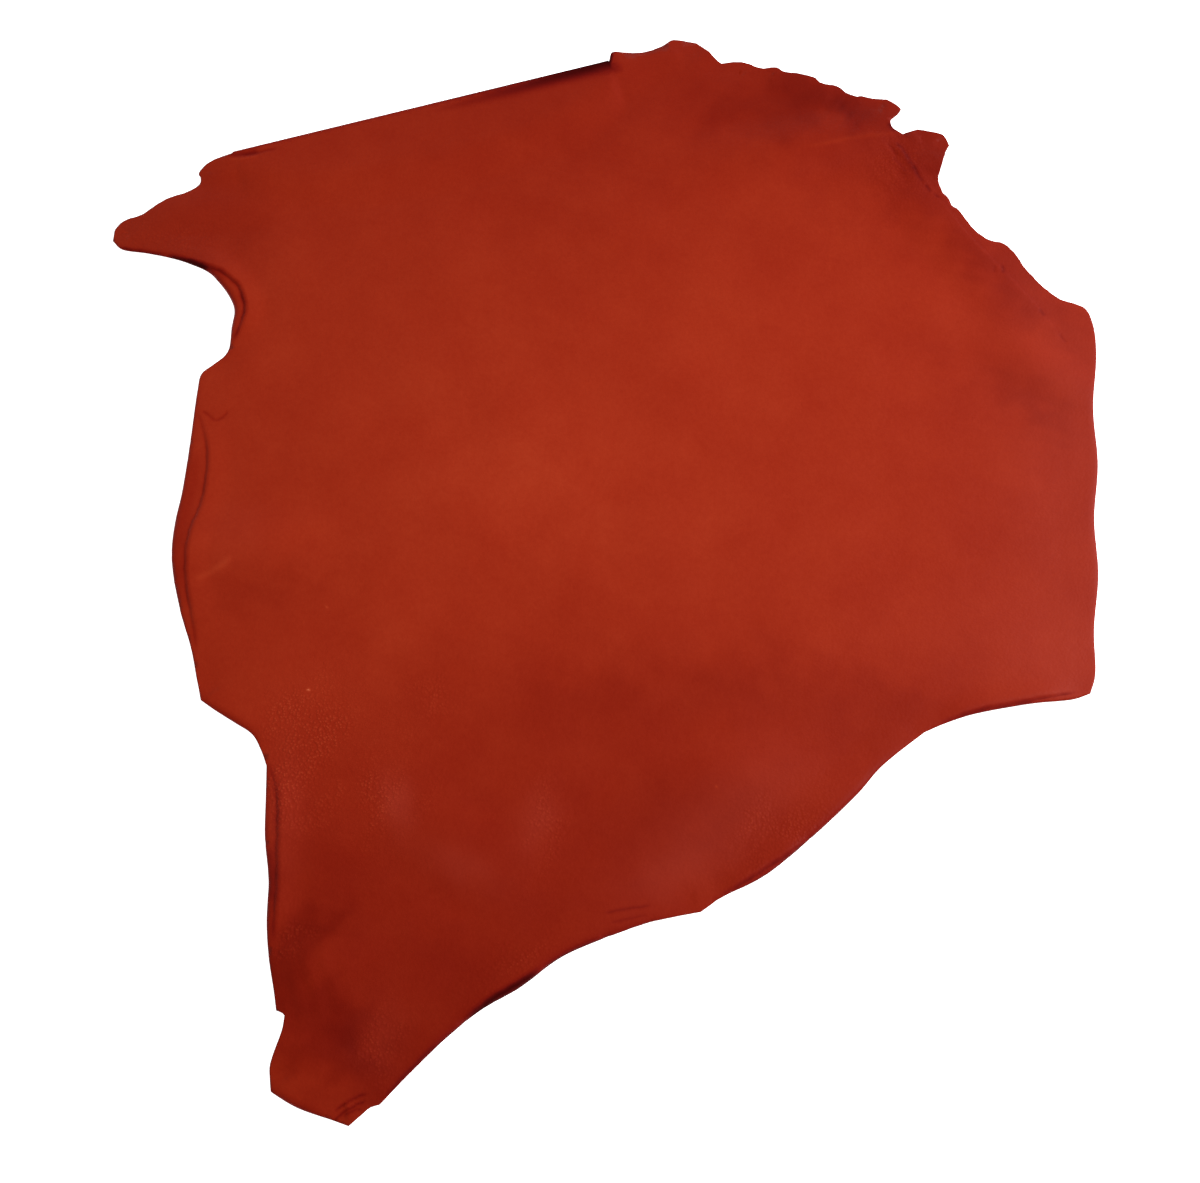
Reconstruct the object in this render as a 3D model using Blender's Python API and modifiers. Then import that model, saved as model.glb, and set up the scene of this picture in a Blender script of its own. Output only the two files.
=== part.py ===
# A dyed sheepskin, laid grain side up with the straight part of its far flank folded under.
# Metres, +Z up. The hind legs are at -X, the neck at +X, and the folded flank at +Y.
import math
from collections import namedtuple

import bpy
import numpy as np
from mathutils import Vector
from mathutils.geometry import delaunay_2d_cdt

LEATHER = 0.0012  # thickness of the dressed skin
TURN_RADIUS = 0.0018  # inside the fold, on the flesh side
TURN_STEPS = 4  # facets round the half turn of the fold
EDGE_STEP = 0.010  # between points along the cut edge
RIM_ROWS = (0.007, 0.018)  # rows of points in from the cut edge
GRID_STEP = 0.024  # between points over the middle
RIM_CLEARANCE = 0.93  # share of its depth that a rim point keeps from the whole edge
ROW_CLEARANCE = 0.6  # share of the edge's step that rim points keep from the fold
GRID_CLEARANCE = 0.62  # share of its step that the grid keeps from every row
MERGE = 1e-6  # points nearer than this are one
LIFT_REACH = 0.038  # how far in from the edge its lift dies out
ROLL_RISE = 0.0013  # how quickly a rolled edge climbs
ROLL_REACH = 0.034  # and how far in it dies out
EDGE_BLUR = 0.002  # evens lift and roll out between neighbouring points of the edge
TENT_REACH = 0.055  # how far from the hidden flap the upper layer comes down to the surface

SKIN_COLOUR = (0.314, 0.024, 0.010, 1.0)  # linear, a warm brick red
SKIN_ROUGHNESS = 0.48

# Where the flank turns under, in the plane of the surface.
FOLD_START = Vector((-0.363, 0.3885))
FOLD_END = Vector((0.012, 0.5045))
FOLD_LENGTH = (FOLD_END - FOLD_START).length
FOLD_ALONG = (FOLD_END - FOLD_START).normalized()
FOLD_OUT = Vector((-FOLD_ALONG.y, FOLD_ALONG.x))

# The cut edge, counter-clockwise from the start of the fold. Each run is one smooth curve
# through its marks, and the runs meet at the skin's corners. Lift is how high the middle of its
# edge stands, and roll how high the skin bulges just inside it.
Run = namedtuple("Run", "name lift roll marks")
EDGE = (
    Run("far hind leg, far side", 0.002, 0.0, (
        (-0.363, 0.3885), (-0.375, 0.3835), (-0.388, 0.3765), (-0.395, 0.364),
        (-0.393, 0.361), (-0.393, 0.352), (-0.403, 0.343), (-0.426, 0.332), (-0.445, 0.316),
        (-0.464, 0.308), (-0.470, 0.300),
    )),
    Run("far hind leg, near side", 0.0, 0.0026, (
        (-0.471, 0.286), (-0.462, 0.277), (-0.436, 0.272), (-0.406, 0.265),
        (-0.375, 0.251), (-0.363, 0.239), (-0.351, 0.222), (-0.345, 0.207),
        (-0.346, 0.187), (-0.348, 0.159),
    )),
    Run("rump", 0.0, 0.0012, (
        (-0.361, 0.145), (-0.370, 0.136), (-0.372, 0.117), (-0.373, 0.066),
        (-0.375, 0.014), (-0.378, -0.020), (-0.378, -0.048), (-0.375, -0.070),
        (-0.365, -0.106), (-0.352, -0.142), (-0.344, -0.172),
    )),
    Run("near groin", 0.0, 0.0016, (
        (-0.339, -0.189), (-0.324, -0.199), (-0.308, -0.209), (-0.292, -0.220),
        (-0.284, -0.234),
    )),
    Run("near hind leg", 0.0, 0.0012, (
        (-0.278, -0.248), (-0.276, -0.278), (-0.274, -0.309), (-0.268, -0.346),
        (-0.267, -0.379), (-0.264, -0.403), (-0.258, -0.431),
    )),
    Run("hock nick", 0.0, 0.0, ((-0.254, -0.451), (-0.249, -0.453))),
    Run("heel", 0.001, 0.0, ((-0.247, -0.455), (-0.248, -0.466), (-0.254, -0.487), (-0.2555, -0.495))),
    Run("leg end", 0.0, 0.0016, ((-0.253, -0.513), (-0.233, -0.524), (-0.211, -0.532))),
    Run("leg nick", 0.001, 0.0, ((-0.191, -0.539), (-0.181, -0.530), (-0.175, -0.525))),
    Run("near flank", 0.0, 0.0030, (
        (-0.168, -0.523), (-0.148, -0.501), (-0.120, -0.473), (-0.092, -0.450),
        (-0.061, -0.432), (-0.030, -0.409), (0.001, -0.395), (0.041, -0.381),
        (0.064, -0.376),
    )),
    Run("near belly", 0.0, 0.0026, (
        (0.085, -0.372), (0.102, -0.360), (0.137, -0.342), (0.178, -0.309),
        (0.219, -0.271), (0.239, -0.249),
    )),
    Run("near shoulder", 0.0, 0.0014, (
        (0.279, -0.218), (0.297, -0.210), (0.320, -0.202), (0.372, -0.192),
        (0.410, -0.188),
    )),
    Run("neck", 0.0, 0.0010, (
        (0.424, -0.183), (0.430, -0.167), (0.434, -0.124), (0.444, -0.071),
        (0.447, -0.016), (0.457, 0.040), (0.460, 0.103), (0.470, 0.157),
        (0.471, 0.190), (0.466, 0.208),
    )),
    Run("far shoulder", 0.002, 0.0, (
        (0.456, 0.214), (0.446, 0.2175), (0.4335, 0.2265), (0.416, 0.2485), (0.4015, 0.2745),
        (0.3935, 0.282), (0.3805, 0.286), (0.3725, 0.292), (0.3655, 0.301), (0.3595, 0.312),
        (0.3565, 0.3195), (0.353, 0.324), (0.3485, 0.3275), (0.3465, 0.336),
    )),
    Run("far foreleg", 0.003, 0.0, (
        (0.341, 0.343), (0.3385, 0.352), (0.338, 0.3605), (0.344, 0.379), (0.3485, 0.3945),
    )),
    Run("far foreleg, end", 0.001, 0.0, ((0.3525, 0.4015), (0.350, 0.4095), (0.3465, 0.4145), (0.334, 0.4185))),
    Run("far foreleg, back", 0.001, 0.0, ((0.322, 0.421), (0.3145, 0.4175))),
    Run("elbow notch", 0.001, 0.0, (
        (0.307, 0.4145), (0.2975, 0.422), (0.2955, 0.4265), (0.296, 0.432), (0.303, 0.439),
    )),
    Run("far elbow", 0.001, 0.0, ((0.3075, 0.4465), (0.3055, 0.4495), (0.300, 0.4545))),
    Run("far belly", 0.003, 0.0, (
        (0.294, 0.4595), (0.2785, 0.461), (0.269, 0.4635), (0.264, 0.4625), (0.253, 0.4675),
        (0.2455, 0.4745), (0.227, 0.4795), (0.2225, 0.4845), (0.2085, 0.490), (0.1915, 0.4935),
        (0.184, 0.499), (0.170, 0.4985), (0.163, 0.5005), (0.1555, 0.505), (0.148, 0.508),
        (0.1365, 0.5075),
    )),
    Run("far flank", 0.001, 0.0, ((0.1275, 0.506), (0.1205, 0.513), (0.1135, 0.523), (0.108, 0.528))),
    Run("far flank, hump", 0.002, 0.0, (
        (0.103, 0.5325), (0.085, 0.536), (0.0765, 0.535), (0.069, 0.529), (0.058, 0.5225),
        (0.049, 0.5195), (0.036, 0.517), (0.0255, 0.5175), (0.0155, 0.517),
    )),
)

# The edge of the flap that is folded under, before it is folded, back to the start of the fold.
FlapMark = namedtuple("FlapMark", "along beyond")  # along the fold, and beyond it
FLAP = (
    FlapMark(0.389, 0.012),
    FlapMark(0.378, 0.023),
    FlapMark(0.345, 0.037),
    FlapMark(0.290, 0.049),
    FlapMark(0.210, 0.057),
    FlapMark(0.120, 0.052),
    FlapMark(0.060, 0.037),
    FlapMark(0.022, 0.021),
    FlapMark(0.006, 0.009),
)

# Low ridges where the skin stands off the surface, each from one end of its crest to the other. An
# end that lies past the cut edge lets the ridge run out over it.
Ridge = namedtuple("Ridge", "name start end half_width rise")
RIDGES = (
    Ridge("far shoulder", (0.262, 0.425), (0.455, 0.110), 0.040, 0.0026),
    Ridge("corner by the foreleg", (0.060, 0.372), (0.360, 0.428), 0.046, 0.0048),
    Ridge("neck", (0.330, 0.190), (0.520, 0.080), 0.036, 0.0034),
    Ridge("rump", (-0.430, -0.034), (-0.225, -0.040), 0.042, 0.0034),
    Ridge("far hind leg", (-0.500, 0.305), (-0.290, 0.335), 0.034, 0.0026),
    Ridge("hock", (-0.290, -0.425), (-0.160, -0.400), 0.026, 0.0026),
    Ridge("shank", (-0.285, -0.478), (-0.130, -0.520), 0.030, 0.0022),
    Ridge("near belly", (-0.200, -0.262), (-0.040, -0.372), 0.046, 0.0028),
    Ridge("near flank", (0.030, -0.262), (0.250, -0.262), 0.046, 0.0026),
)


def clear_scene():
    for thing in list(bpy.data.objects):
        bpy.data.objects.remove(thing, do_unlink=True)


def smooth_run(marks, step):
    """Points at even steps on the curve through the marks, without the last mark."""
    marks = np.asarray(marks, float)
    before, after = 2 * marks[0] - marks[1], 2 * marks[-1] - marks[-2]
    marks = np.vstack([before, marks, after])
    pieces = []
    for a, b, c, d in zip(marks, marks[1:], marks[2:], marks[3:]):
        # Centripetal Catmull-Rom: the square roots keep it from looping where marks are uneven.
        ab, bc, cd = (math.sqrt(np.linalg.norm(q - p)) for p, q in ((a, b), (b, c), (c, d)))
        leaving = c - b + bc * ((b - a) / ab - (c - a) / (ab + bc))
        arriving = c - b + bc * ((d - c) / cd - (d - b) / (bc + cd))
        count = max(1, round(float(np.linalg.norm(c - b)) / step))
        t = (np.arange(count) / count)[:, None]
        pieces.append(
            (2 * t**3 - 3 * t**2 + 1) * b
            + (t**3 - 2 * t**2 + t) * leaving
            + (3 * t**2 - 2 * t**3) * c
            + (t**3 - t**2) * arriving
        )
    return np.vstack(pieces)


def flap_place(along, beyond):
    """A place on the skin before it is folded, from its place along and beyond the fold."""
    place = FOLD_START + FOLD_ALONG * along + FOLD_OUT * beyond
    return place.x, place.y


def cut_edge():
    """The closed outline of the skin opened flat, and the edge's lift and roll at each point."""
    flap_marks = [flap_place(mark.along, mark.beyond) for mark in FLAP]
    flap = Run("flap", 0.0, 0.0, (tuple(FOLD_END), *flap_marks))
    runs = EDGE + (flap,)
    points, lifts, rolls = [], [], []
    for run, following in zip(runs, runs[1:] + runs[:1]):
        on_run = smooth_run(run.marks + following.marks[:1], EDGE_STEP)
        share = np.arange(len(on_run)) / len(on_run)
        points.append(on_run)
        lifts.append(run.lift * np.sin(math.pi * share) ** 2)
        rolls.append(run.roll * np.sin(math.pi * share))
    return np.vstack(points), np.concatenate(lifts), np.concatenate(rolls)


def distances(points, others):
    return np.linalg.norm(points[:, None] - others[None], axis=2)


def inside(points, outline):
    """Which points the outline goes round, by counting its crossings of a line to +X."""
    x, y = points[:, 0, None], points[:, 1, None]
    (x0, y0), (x1, y1) = outline.T, np.roll(outline, -1, axis=0).T
    spans = (y0 > y) != (y1 > y)
    rise = np.where(y1 == y0, 1.0, y1 - y0)
    crossing = x0 + (y - y0) / rise * (x1 - x0)
    return (spans & (x < crossing)).sum(axis=1) % 2 == 1


def rim_rows(outline):
    """Rows of points that follow the cut edge inside it, and miss its tight corners."""
    ahead, behind = np.roll(outline, -1, axis=0), np.roll(outline, 1, axis=0)
    run = ahead - behind
    inward = np.stack([-run[:, 1], run[:, 0]], axis=1)
    inward /= np.linalg.norm(inward, axis=1)[:, None]
    rows = []
    for depth in RIM_ROWS:
        row = outline + inward * depth
        clear = distances(row, outline).min(axis=1) > RIM_CLEARANCE * depth
        rows.append(row[clear & inside(row, outline)])
    return rows


def middle_grid(outline, taken):
    """A grid of triangles' corners over the rest of the skin."""
    low, high = outline.min(axis=0), outline.max(axis=0)
    row_step = GRID_STEP * math.sqrt(3) / 2
    rows = np.arange(low[1], high[1], row_step)
    columns = np.arange(low[0], high[0], GRID_STEP)
    x, y = np.meshgrid(columns, rows)
    x[1::2] += GRID_STEP / 2
    grid = np.stack([x.ravel(), y.ravel()], axis=1)
    grid = grid[inside(grid, outline)]
    return grid[distances(grid, taken).min(axis=1) > GRID_CLEARANCE * GRID_STEP]


def turn_rows():
    """Rows along the fold where its facets meet, from the upper layer to the flap."""
    count = round(FOLD_LENGTH / EDGE_STEP)
    facet = math.pi * TURN_RADIUS / TURN_STEPS
    rows = []
    for number in range(TURN_STEPS + 1):
        rows.append([flap_place(FOLD_LENGTH * i / count, facet * number) for i in range(count + 1)])
    return np.array(rows)


def flat_skin(outline):
    """The whole skin opened flat, as corners and triangles."""
    turn = turn_rows()
    in_turn = turn[:, 1:-1].reshape(-1, 2)
    in_turn = in_turn[inside(in_turn, outline)]
    apart = ROW_CLEARANCE * EDGE_STEP
    rims = [row[distances(row, in_turn).min(axis=1) > apart] for row in rim_rows(outline)]
    taken = np.vstack([outline, in_turn, *rims])
    grid = middle_grid(outline, taken)

    corners = [outline, *turn, *rims, grid]
    count = len(outline)
    edges = [(i, (i + 1) % count) for i in range(count)]
    start = count
    for row in turn:
        edges += [(i, i + 1) for i in range(start, start + len(row) - 1)]
        start += len(row)
    places = [Vector(place) for place in np.vstack(corners)]
    enclosed = 1  # the kind of result that keeps only what the edges enclose
    result = delaunay_2d_cdt(places, edges, [list(range(count))], enclosed, MERGE, False)
    flat, faces = result[0], result[2]
    flat = np.array([tuple(place) for place in flat])
    centres = np.array([flat[list(face)].mean(axis=0) for face in faces])
    kept = inside(centres, outline)
    return flat, [face for face, keep in zip(faces, kept) if keep]


def eased(share):
    """0 to 1 with level ends."""
    share = np.clip(share, 0, 1)
    return share * share * (3 - 2 * share)


def fold_place(flat):
    """How far along the fold and beyond it each point of the flat skin lies."""
    offset = flat - np.array(FOLD_START)
    return offset @ np.array(FOLD_ALONG), offset @ np.array(FOLD_OUT)


def tent(flat):
    """1 where the upper layer lies over the flap, down to 0 where it lies on the surface."""
    along, beyond = fold_place(flat)
    table = sorted([(0.0, 0.0), *FLAP, (FOLD_LENGTH, 0.0)])
    depth = np.interp(along, [row[0] for row in table], [row[1] for row in table])
    past_flap = np.maximum(0, -beyond - depth)
    past_end = np.maximum(0, np.maximum(-along, along - FOLD_LENGTH))
    return eased(1 - np.hypot(past_flap, past_end) / TENT_REACH)


def ridge_rise(flat):
    """The sum of the ridges, each highest at the middle of its crest."""
    rise = np.zeros(len(flat))
    for ridge in RIDGES:
        start, end = np.array(ridge.start), np.array(ridge.end)
        crest = end - start
        share = np.clip((flat - start) @ crest / (crest @ crest), 0, 1)
        off_crest = np.linalg.norm(flat - start - share[:, None] * crest, axis=1)
        across = np.clip(1 - (off_crest / ridge.half_width) ** 2, 0, 1) ** 2
        rise += ridge.rise * np.sin(math.pi * share) ** 2 * across
    return rise


def edge_rise(flat, outline, lifts, rolls):
    """The edge's lift, easing away inwards, and its roll, which climbs just inside the edge."""
    away = distances(flat, outline)
    weight = 1 / (away + EDGE_BLUR) ** 4
    lift = weight @ lifts / weight.sum(axis=1)
    roll = weight @ rolls / weight.sum(axis=1)
    nearest = away.min(axis=1)
    climbed = 1 - np.exp(-nearest / ROLL_RISE)
    return lift * eased(1 - nearest / LIFT_REACH) + roll * climbed * eased(1 - nearest / ROLL_REACH)


def laid(flat, outline, lifts, rolls):
    """The flesh side of the skin as it lies: flat, raised in places, and turned under at the fold."""
    over_flap = LEATHER + 2 * TURN_RADIUS
    share = tent(flat)
    free = ridge_rise(flat) + edge_rise(flat, outline, lifts, rolls)
    height = share * over_flap + (1 - share) * free
    points = np.column_stack([flat, height])

    along, beyond = fold_place(flat)
    turned = (beyond > MERGE) & (along > 0) & (along < FOLD_LENGTH)
    half_turn = math.pi * TURN_RADIUS
    angle = np.clip(beyond, 0, half_turn) / TURN_RADIUS
    reach = TURN_RADIUS * np.sin(angle) - np.maximum(0, beyond - half_turn)
    under = LEATHER + TURN_RADIUS * (1 + np.cos(angle))
    foot = np.array(FOLD_START) + along[:, None] * np.array(FOLD_ALONG)
    folded = np.column_stack([foot + reach[:, None] * np.array(FOLD_OUT), under])
    points[turned] = folded[turned]
    return points


def skin_material():
    material = bpy.data.materials.new("Dyed sheepskin")
    material.use_nodes = True
    shader = material.node_tree.nodes["Principled BSDF"]
    shader.inputs["Base Color"].default_value = SKIN_COLOUR
    shader.inputs["Roughness"].default_value = SKIN_ROUGHNESS
    shader.inputs["Metallic"].default_value = 0.0
    return material


def build_skin(collection):
    outline, lifts, rolls = cut_edge()
    flat, faces = flat_skin(outline)
    points = laid(flat, outline, lifts, rolls)
    mesh = bpy.data.meshes.new("sheepskin")
    mesh.from_pydata(points.tolist(), [], faces)
    mesh.validate()
    mesh.shade_smooth()
    mesh.materials.append(skin_material())
    skin = bpy.data.objects.new("sheepskin", mesh)
    collection.objects.link(skin)

    # The surface above is the flesh side, so the leather's thickness goes on its outer side.
    thickness = skin.modifiers.new("Leather", "SOLIDIFY")
    thickness.thickness = LEATHER
    thickness.offset = 1.0
    thickness.use_quality_normals = True
    return skin


def main():
    clear_scene()
    collection = bpy.data.collections.new("Sheepskin leather")
    bpy.context.scene.collection.children.link(collection)
    build_skin(collection)


main()
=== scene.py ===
# A dyed sheepskin lying grain side up, the straight part of its far flank folded under.
# Metres, but for the marks, and +Z up. The hind legs are at -X, the neck at +X, and the folded
# flank at +Y.
import math
from collections import namedtuple

import bpy
import numpy as np
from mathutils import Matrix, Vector
from mathutils.geometry import delaunay_2d_cdt


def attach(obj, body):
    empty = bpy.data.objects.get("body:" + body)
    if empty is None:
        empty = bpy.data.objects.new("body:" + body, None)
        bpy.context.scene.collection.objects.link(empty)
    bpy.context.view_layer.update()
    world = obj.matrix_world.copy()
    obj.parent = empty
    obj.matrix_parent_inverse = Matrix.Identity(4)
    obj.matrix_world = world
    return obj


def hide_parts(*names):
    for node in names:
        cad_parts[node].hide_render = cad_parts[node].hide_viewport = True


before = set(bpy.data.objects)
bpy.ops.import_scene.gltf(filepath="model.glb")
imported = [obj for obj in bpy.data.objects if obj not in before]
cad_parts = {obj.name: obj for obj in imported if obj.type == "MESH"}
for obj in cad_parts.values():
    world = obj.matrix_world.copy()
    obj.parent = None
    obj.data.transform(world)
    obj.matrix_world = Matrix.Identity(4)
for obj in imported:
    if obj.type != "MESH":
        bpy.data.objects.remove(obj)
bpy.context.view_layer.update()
print("frame loaded:", sorted(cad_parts))

# One stretch of the cut edge, smooth through its marks. Lift is how high the middle of its edge
# stands, roll how high the skin bulges just inside it, ragged how far the knife wandered.
Run = namedtuple("Run", "name lift roll ragged marks")
FlapMark = namedtuple("FlapMark", "along beyond")  # along the fold, and beyond it
# The painted shade beside the fold: how far inside the fold its middle runs, how wide and how dark it is.
Shade = namedtuple("Shade", "along inside width dark")
Ridge = namedtuple("Ridge", "name start end halfWidth rise")
# A line where the skin steps down towards its edge, with painted shade along its foot. The raised side is on
# the line's left.
Step = namedtuple("Step", "name rise fade dark halfWidth marks")
# A narrow trough in the grain, or a narrow ridge where depth is negative. Its shade is painted shade, and
# below 0 a painted highlight; on the scars it is their own paler or darker mark.
Wrinkle = namedtuple("Wrinkle", "name depth halfWidth shade marks")
# A patch of even ripples: where, how far it reaches, which way the crests face, and their spacing.
Ripple = namedtuple("Ripple", "name place reach facing spacing height")
# A soft patch: its place, its two radii, how far it is turned, and what it adds at its middle.
Patch = namedtuple("Patch", "name x y alongX alongY turn amount")

skin = {
    "leather": 0.0012,  # thickness of the dressed skin
    "turnRadius": 0.0018,  # inside the fold, on the flesh side
    "turnSteps": 8,  # facets round the half turn of the fold
    "turnClearance": 0.0015,  # what the other points keep from its rows
    "edgeStep": 0.003,  # between points along the cut edge
    "rimDepths": (0.0012, 0.003, 0.006, 0.010, 0.015),  # rows of points in from the cut edge
    "rimClearance": 0.93,  # share of its depth that a rim point keeps from the whole edge
    "creaseRows": (0.0, 0.0013, 0.0027, 0.005),  # rows of points each side of a crease
    "latticeStep": 0.0046,  # between points over the rest
    "latticeClearance": 0.6,  # share of its step that the lattice keeps from every row
    "merge": 1e-6,  # points nearer than this are one
    "liftReach": 0.038,  # how far in from the edge its lift dies out
    "rollRise": 0.0013,  # how quickly a rolled edge climbs
    "rollReach": 0.034,  # and how far in it dies out
    "tentReach": 0.055,  # how far from the flap the upper layer comes down to the floor
    "stepWidth": 0.0024,  # over which a stepped crease climbs
    "creaseWander": 0.0002,  # how far a crease strays to either side
    "creaseThin": 0.001,  # the least between the points at the creases
    "creaseFromEdge": 0.8,  # share of the first rim depth that they keep from the cut edge
    "creaseClearance": 0.0012,  # what the rim's points keep from the creases' outer rows
    "creaseSearch": 0.02,  # how far off a crease is looked for
    "stepEnds": (0.25, 0.1),  # shares of its length over which a step's height and painted shade grow
    "stepTaper": (0.7, 0.4),  # share of its width at its ends, and what the middle has more
    "stepUneven": (0.72, 0.28, 31, 13),  # its painted shade: the mean, the swing, and the turns of two sines
    "stepFoot": 0.0004,  # how far up its slope the painted dark line runs
    "wrinkleEnds": (0.2, 0.15),  # share over which a wrinkle grows, and how much of it its end has
    "swellStart": 0.03,  # the swells grow in over this from the cut edge
    "reliefStart": 0.006,  # and the relief of the grain over this
    "knifeWander": ((0.5, 1.9, 0), (0.7, 0.83, 1), (0.6, 0.37, 2)),  # size, turn and start of each sine
    "turnShade": ((0.20, 0.35), (0.25, 0.95)),  # places along the fold, and how dark the painted shade on its turn is there
    "turnShadeStart": (0.0012, 0.0024),  # how far inside the fold that begins, and over what it grows
    "turnShadeEnd": (0.0062, 0.0040),  # where it is gone again, and over what it fades
    "turnShadePast": ((0.004, 0.02), (0.003, 0.004)),  # how far past each end, and over what it grows
    "rolledEdgeShadeReach": 0.0022,  # how far in the painted shade along a rolled edge reaches
    "swellHeight": 0.0014,  # of the slow unevenness over the whole skin
    "swellSizes": (0.21, 0.15, 0.11, 0.08),  # its wavelengths
    "swellSeed": 11,
    "warps": ((0.075, 0.0045), (0.034, 0.003), (0.017, 0.0018)),  # wavelength and shift of the patches
    "sheenAndScuffsWarps": ((0.030, 0.0012), (0.012, 0.0007)),  # the same for the painted sheen and the scuffs
    "warpSeed": 5,
    "foldStart": (-0.363, 0.3885),
    "foldEnd": (0.012, 0.5045),
}


# Marks are given in millimetres, and used in metres.
def inMetres(marks):
    return tuple((x / 1000, y / 1000) for x, y in marks)


skin["edge"] = tuple(Run(*row, inMetres(marks)) for *row, marks in (
    ("far hind leg, far side", 0.002, 0.0, 0.0003, (
        (-363, 388.5), (-375, 383.5), (-388, 376.5), (-395, 364), (-393, 361), (-393, 352), (-403, 343),
        (-426, 332), (-445, 316), (-464, 308), (-470, 300),
    )),
    ("far hind leg, near side", 0.0, 0.0026, 0.0, (
        (-471, 286), (-462, 277), (-436, 272), (-406, 265), (-375, 251), (-363, 239), (-351, 222),
        (-345, 207), (-346, 187), (-348, 159),
    )),
    ("rump", 0.0, 0.0012, 0.0, (
        (-361, 145), (-370, 136), (-372, 117), (-373, 66), (-375, 14), (-378, -20), (-378, -48),
        (-375, -70), (-365, -106), (-352, -142), (-344, -172),
    )),
    ("near groin", 0.0, 0.0016, 0.0, (
        (-339, -189), (-324, -199), (-308, -209), (-292, -220), (-284, -234),
    )),
    ("near hind leg", 0.0, 0.0012, 0.0, (
        (-278, -248), (-276, -278), (-274, -309), (-268, -346), (-267, -379), (-264, -403), (-258, -431),
    )),
    ("hock nick", 0.0, 0.0, 0.0, ((-254, -451), (-249, -453))),
    ("heel", 0.001, 0.0, 0.0, ((-247, -455), (-248, -466), (-254, -487), (-255.5, -495))),
    ("leg end", 0.0, 0.0016, 0.0, ((-253, -513), (-233, -524), (-211, -532))),
    ("leg nick", 0.001, 0.0, 0.0, ((-191, -539), (-181, -530), (-175, -525))),
    ("near flank", 0.0, 0.003, 0.0, (
        (-168, -523), (-148, -501), (-120, -473), (-92, -450), (-61, -432), (-30, -409), (1, -395),
        (41, -381), (64, -376),
    )),
    ("near belly", 0.0, 0.0026, 0.0, (
        (85, -372), (102, -360), (137, -342), (178, -309), (219, -271), (239, -249),
    )),
    ("near shoulder", 0.0, 0.0014, 0.0, ((279, -218), (297, -210), (320, -202), (372, -192), (410, -188))),
    ("neck", 0.0, 0.001, 0.0, (
        (424, -183), (430, -167), (434, -124), (444, -71), (447, -16), (457, 40), (460, 103), (470, 157),
        (471, 190), (466, 208),
    )),
    ("far shoulder", 0.002, 0.0, 0.0003, (
        (456, 214), (446, 217.5), (433.5, 226.5), (416, 248.5), (401.5, 274.5), (393.5, 282), (380.5, 286),
        (372.5, 292), (365.5, 301), (359.5, 312), (356.5, 319.5), (353, 324), (348.5, 327.5), (346.5, 336),
    )),
    ("far foreleg", 0.003, 0.0, 0.0003, (
        (341, 343), (338.5, 352), (338, 360.5), (344, 379), (348.5, 394.5),
    )),
    ("far foreleg, end", 0.001, 0.0, 0.0002, ((352.5, 401.5), (350, 409.5), (346.5, 414.5), (334, 418.5))),
    ("far foreleg, back", 0.001, 0.0, 0.0002, ((322, 421), (314.5, 417.5))),
    ("elbow notch", 0.001, 0.0, 0.0002, (
        (307, 414.5), (297.5, 422), (295.5, 426.5), (296, 432), (303, 439),
    )),
    ("far elbow", 0.001, 0.0, 0.0002, ((307.5, 446.5), (305.5, 449.5), (300, 454.5))),
    ("far belly", 0.003, 0.0, 0.0003, (
        (294, 459.5), (278.5, 461), (269, 463.5), (264, 462.5), (253, 467.5), (245.5, 474.5), (227, 479.5),
        (222.5, 484.5), (208.5, 490), (191.5, 493.5), (184, 499), (170, 498.5), (163, 500.5), (155.5, 505),
        (148, 508), (136.5, 507.5),
    )),
    ("far flank", 0.001, 0.0, 0.0002, ((127.5, 506), (120.5, 513), (113.5, 523), (108, 528))),
    ("far flank, hump", 0.002, 0.0, 0.0003, (
        (103, 532.5), (85, 536), (76.5, 535), (69, 529), (58, 522.5), (49, 519.5), (36, 517), (25.5, 517.5),
        (15.5, 517),
    )),
))

# The edge of the flap that is folded under, before it is folded, back to the start of the fold.
skin["flap"] = tuple(FlapMark(*row) for row in (
    (0.389, 0.012), (0.378, 0.023), (0.345, 0.037), (0.29, 0.049), (0.21, 0.057),
    (0.12, 0.052), (0.06, 0.037), (0.022, 0.021), (0.006, 0.009),
))

# Painted shade beside the fold, where the grain side sinks and turns away from the light.
skin["foldShade"] = (
    Shade(0.195, 0.009, 0.002, 0.0),
    Shade(0.232, 0.0084, 0.004, 0.16),
    Shade(0.256, 0.0072, 0.0055, 0.26),
    Shade(0.298, 0.0052, 0.0068, 0.55),
    Shade(0.32, 0.0034, 0.0076, 0.85),
    Shade(0.345, 0.0016, 0.0084, 1.15),
    Shade(0.392, 0.0005, 0.0088, 1.35),
)

# Low ridges where the skin stands off the floor, each from one end of its crest to the other. An
# end that lies past the cut edge lets the ridge run out over it.
skin["ridges"] = (
    Ridge("far shoulder", (0.262, 0.425), (0.455, 0.11), 0.04, 0.0026),
    Ridge("corner by the foreleg", (0.06, 0.372), (0.36, 0.428), 0.046, 0.0048),
    Ridge("neck", (0.33, 0.19), (0.52, 0.08), 0.036, 0.0034),
    Ridge("rump", (-0.43, -0.034), (-0.225, -0.04), 0.042, 0.0034),
    Ridge("far hind leg", (-0.5, 0.305), (-0.29, 0.335), 0.034, 0.0026),
    Ridge("hock", (-0.29, -0.425), (-0.16, -0.4), 0.026, 0.0026),
    Ridge("shank", (-0.285, -0.478), (-0.13, -0.52), 0.03, 0.0022),
    Ridge("near belly", (-0.2, -0.262), (-0.04, -0.372), 0.046, 0.0028),
    Ridge("near flank", (0.03, -0.262), (0.25, -0.262), 0.046, 0.0026),
)

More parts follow.
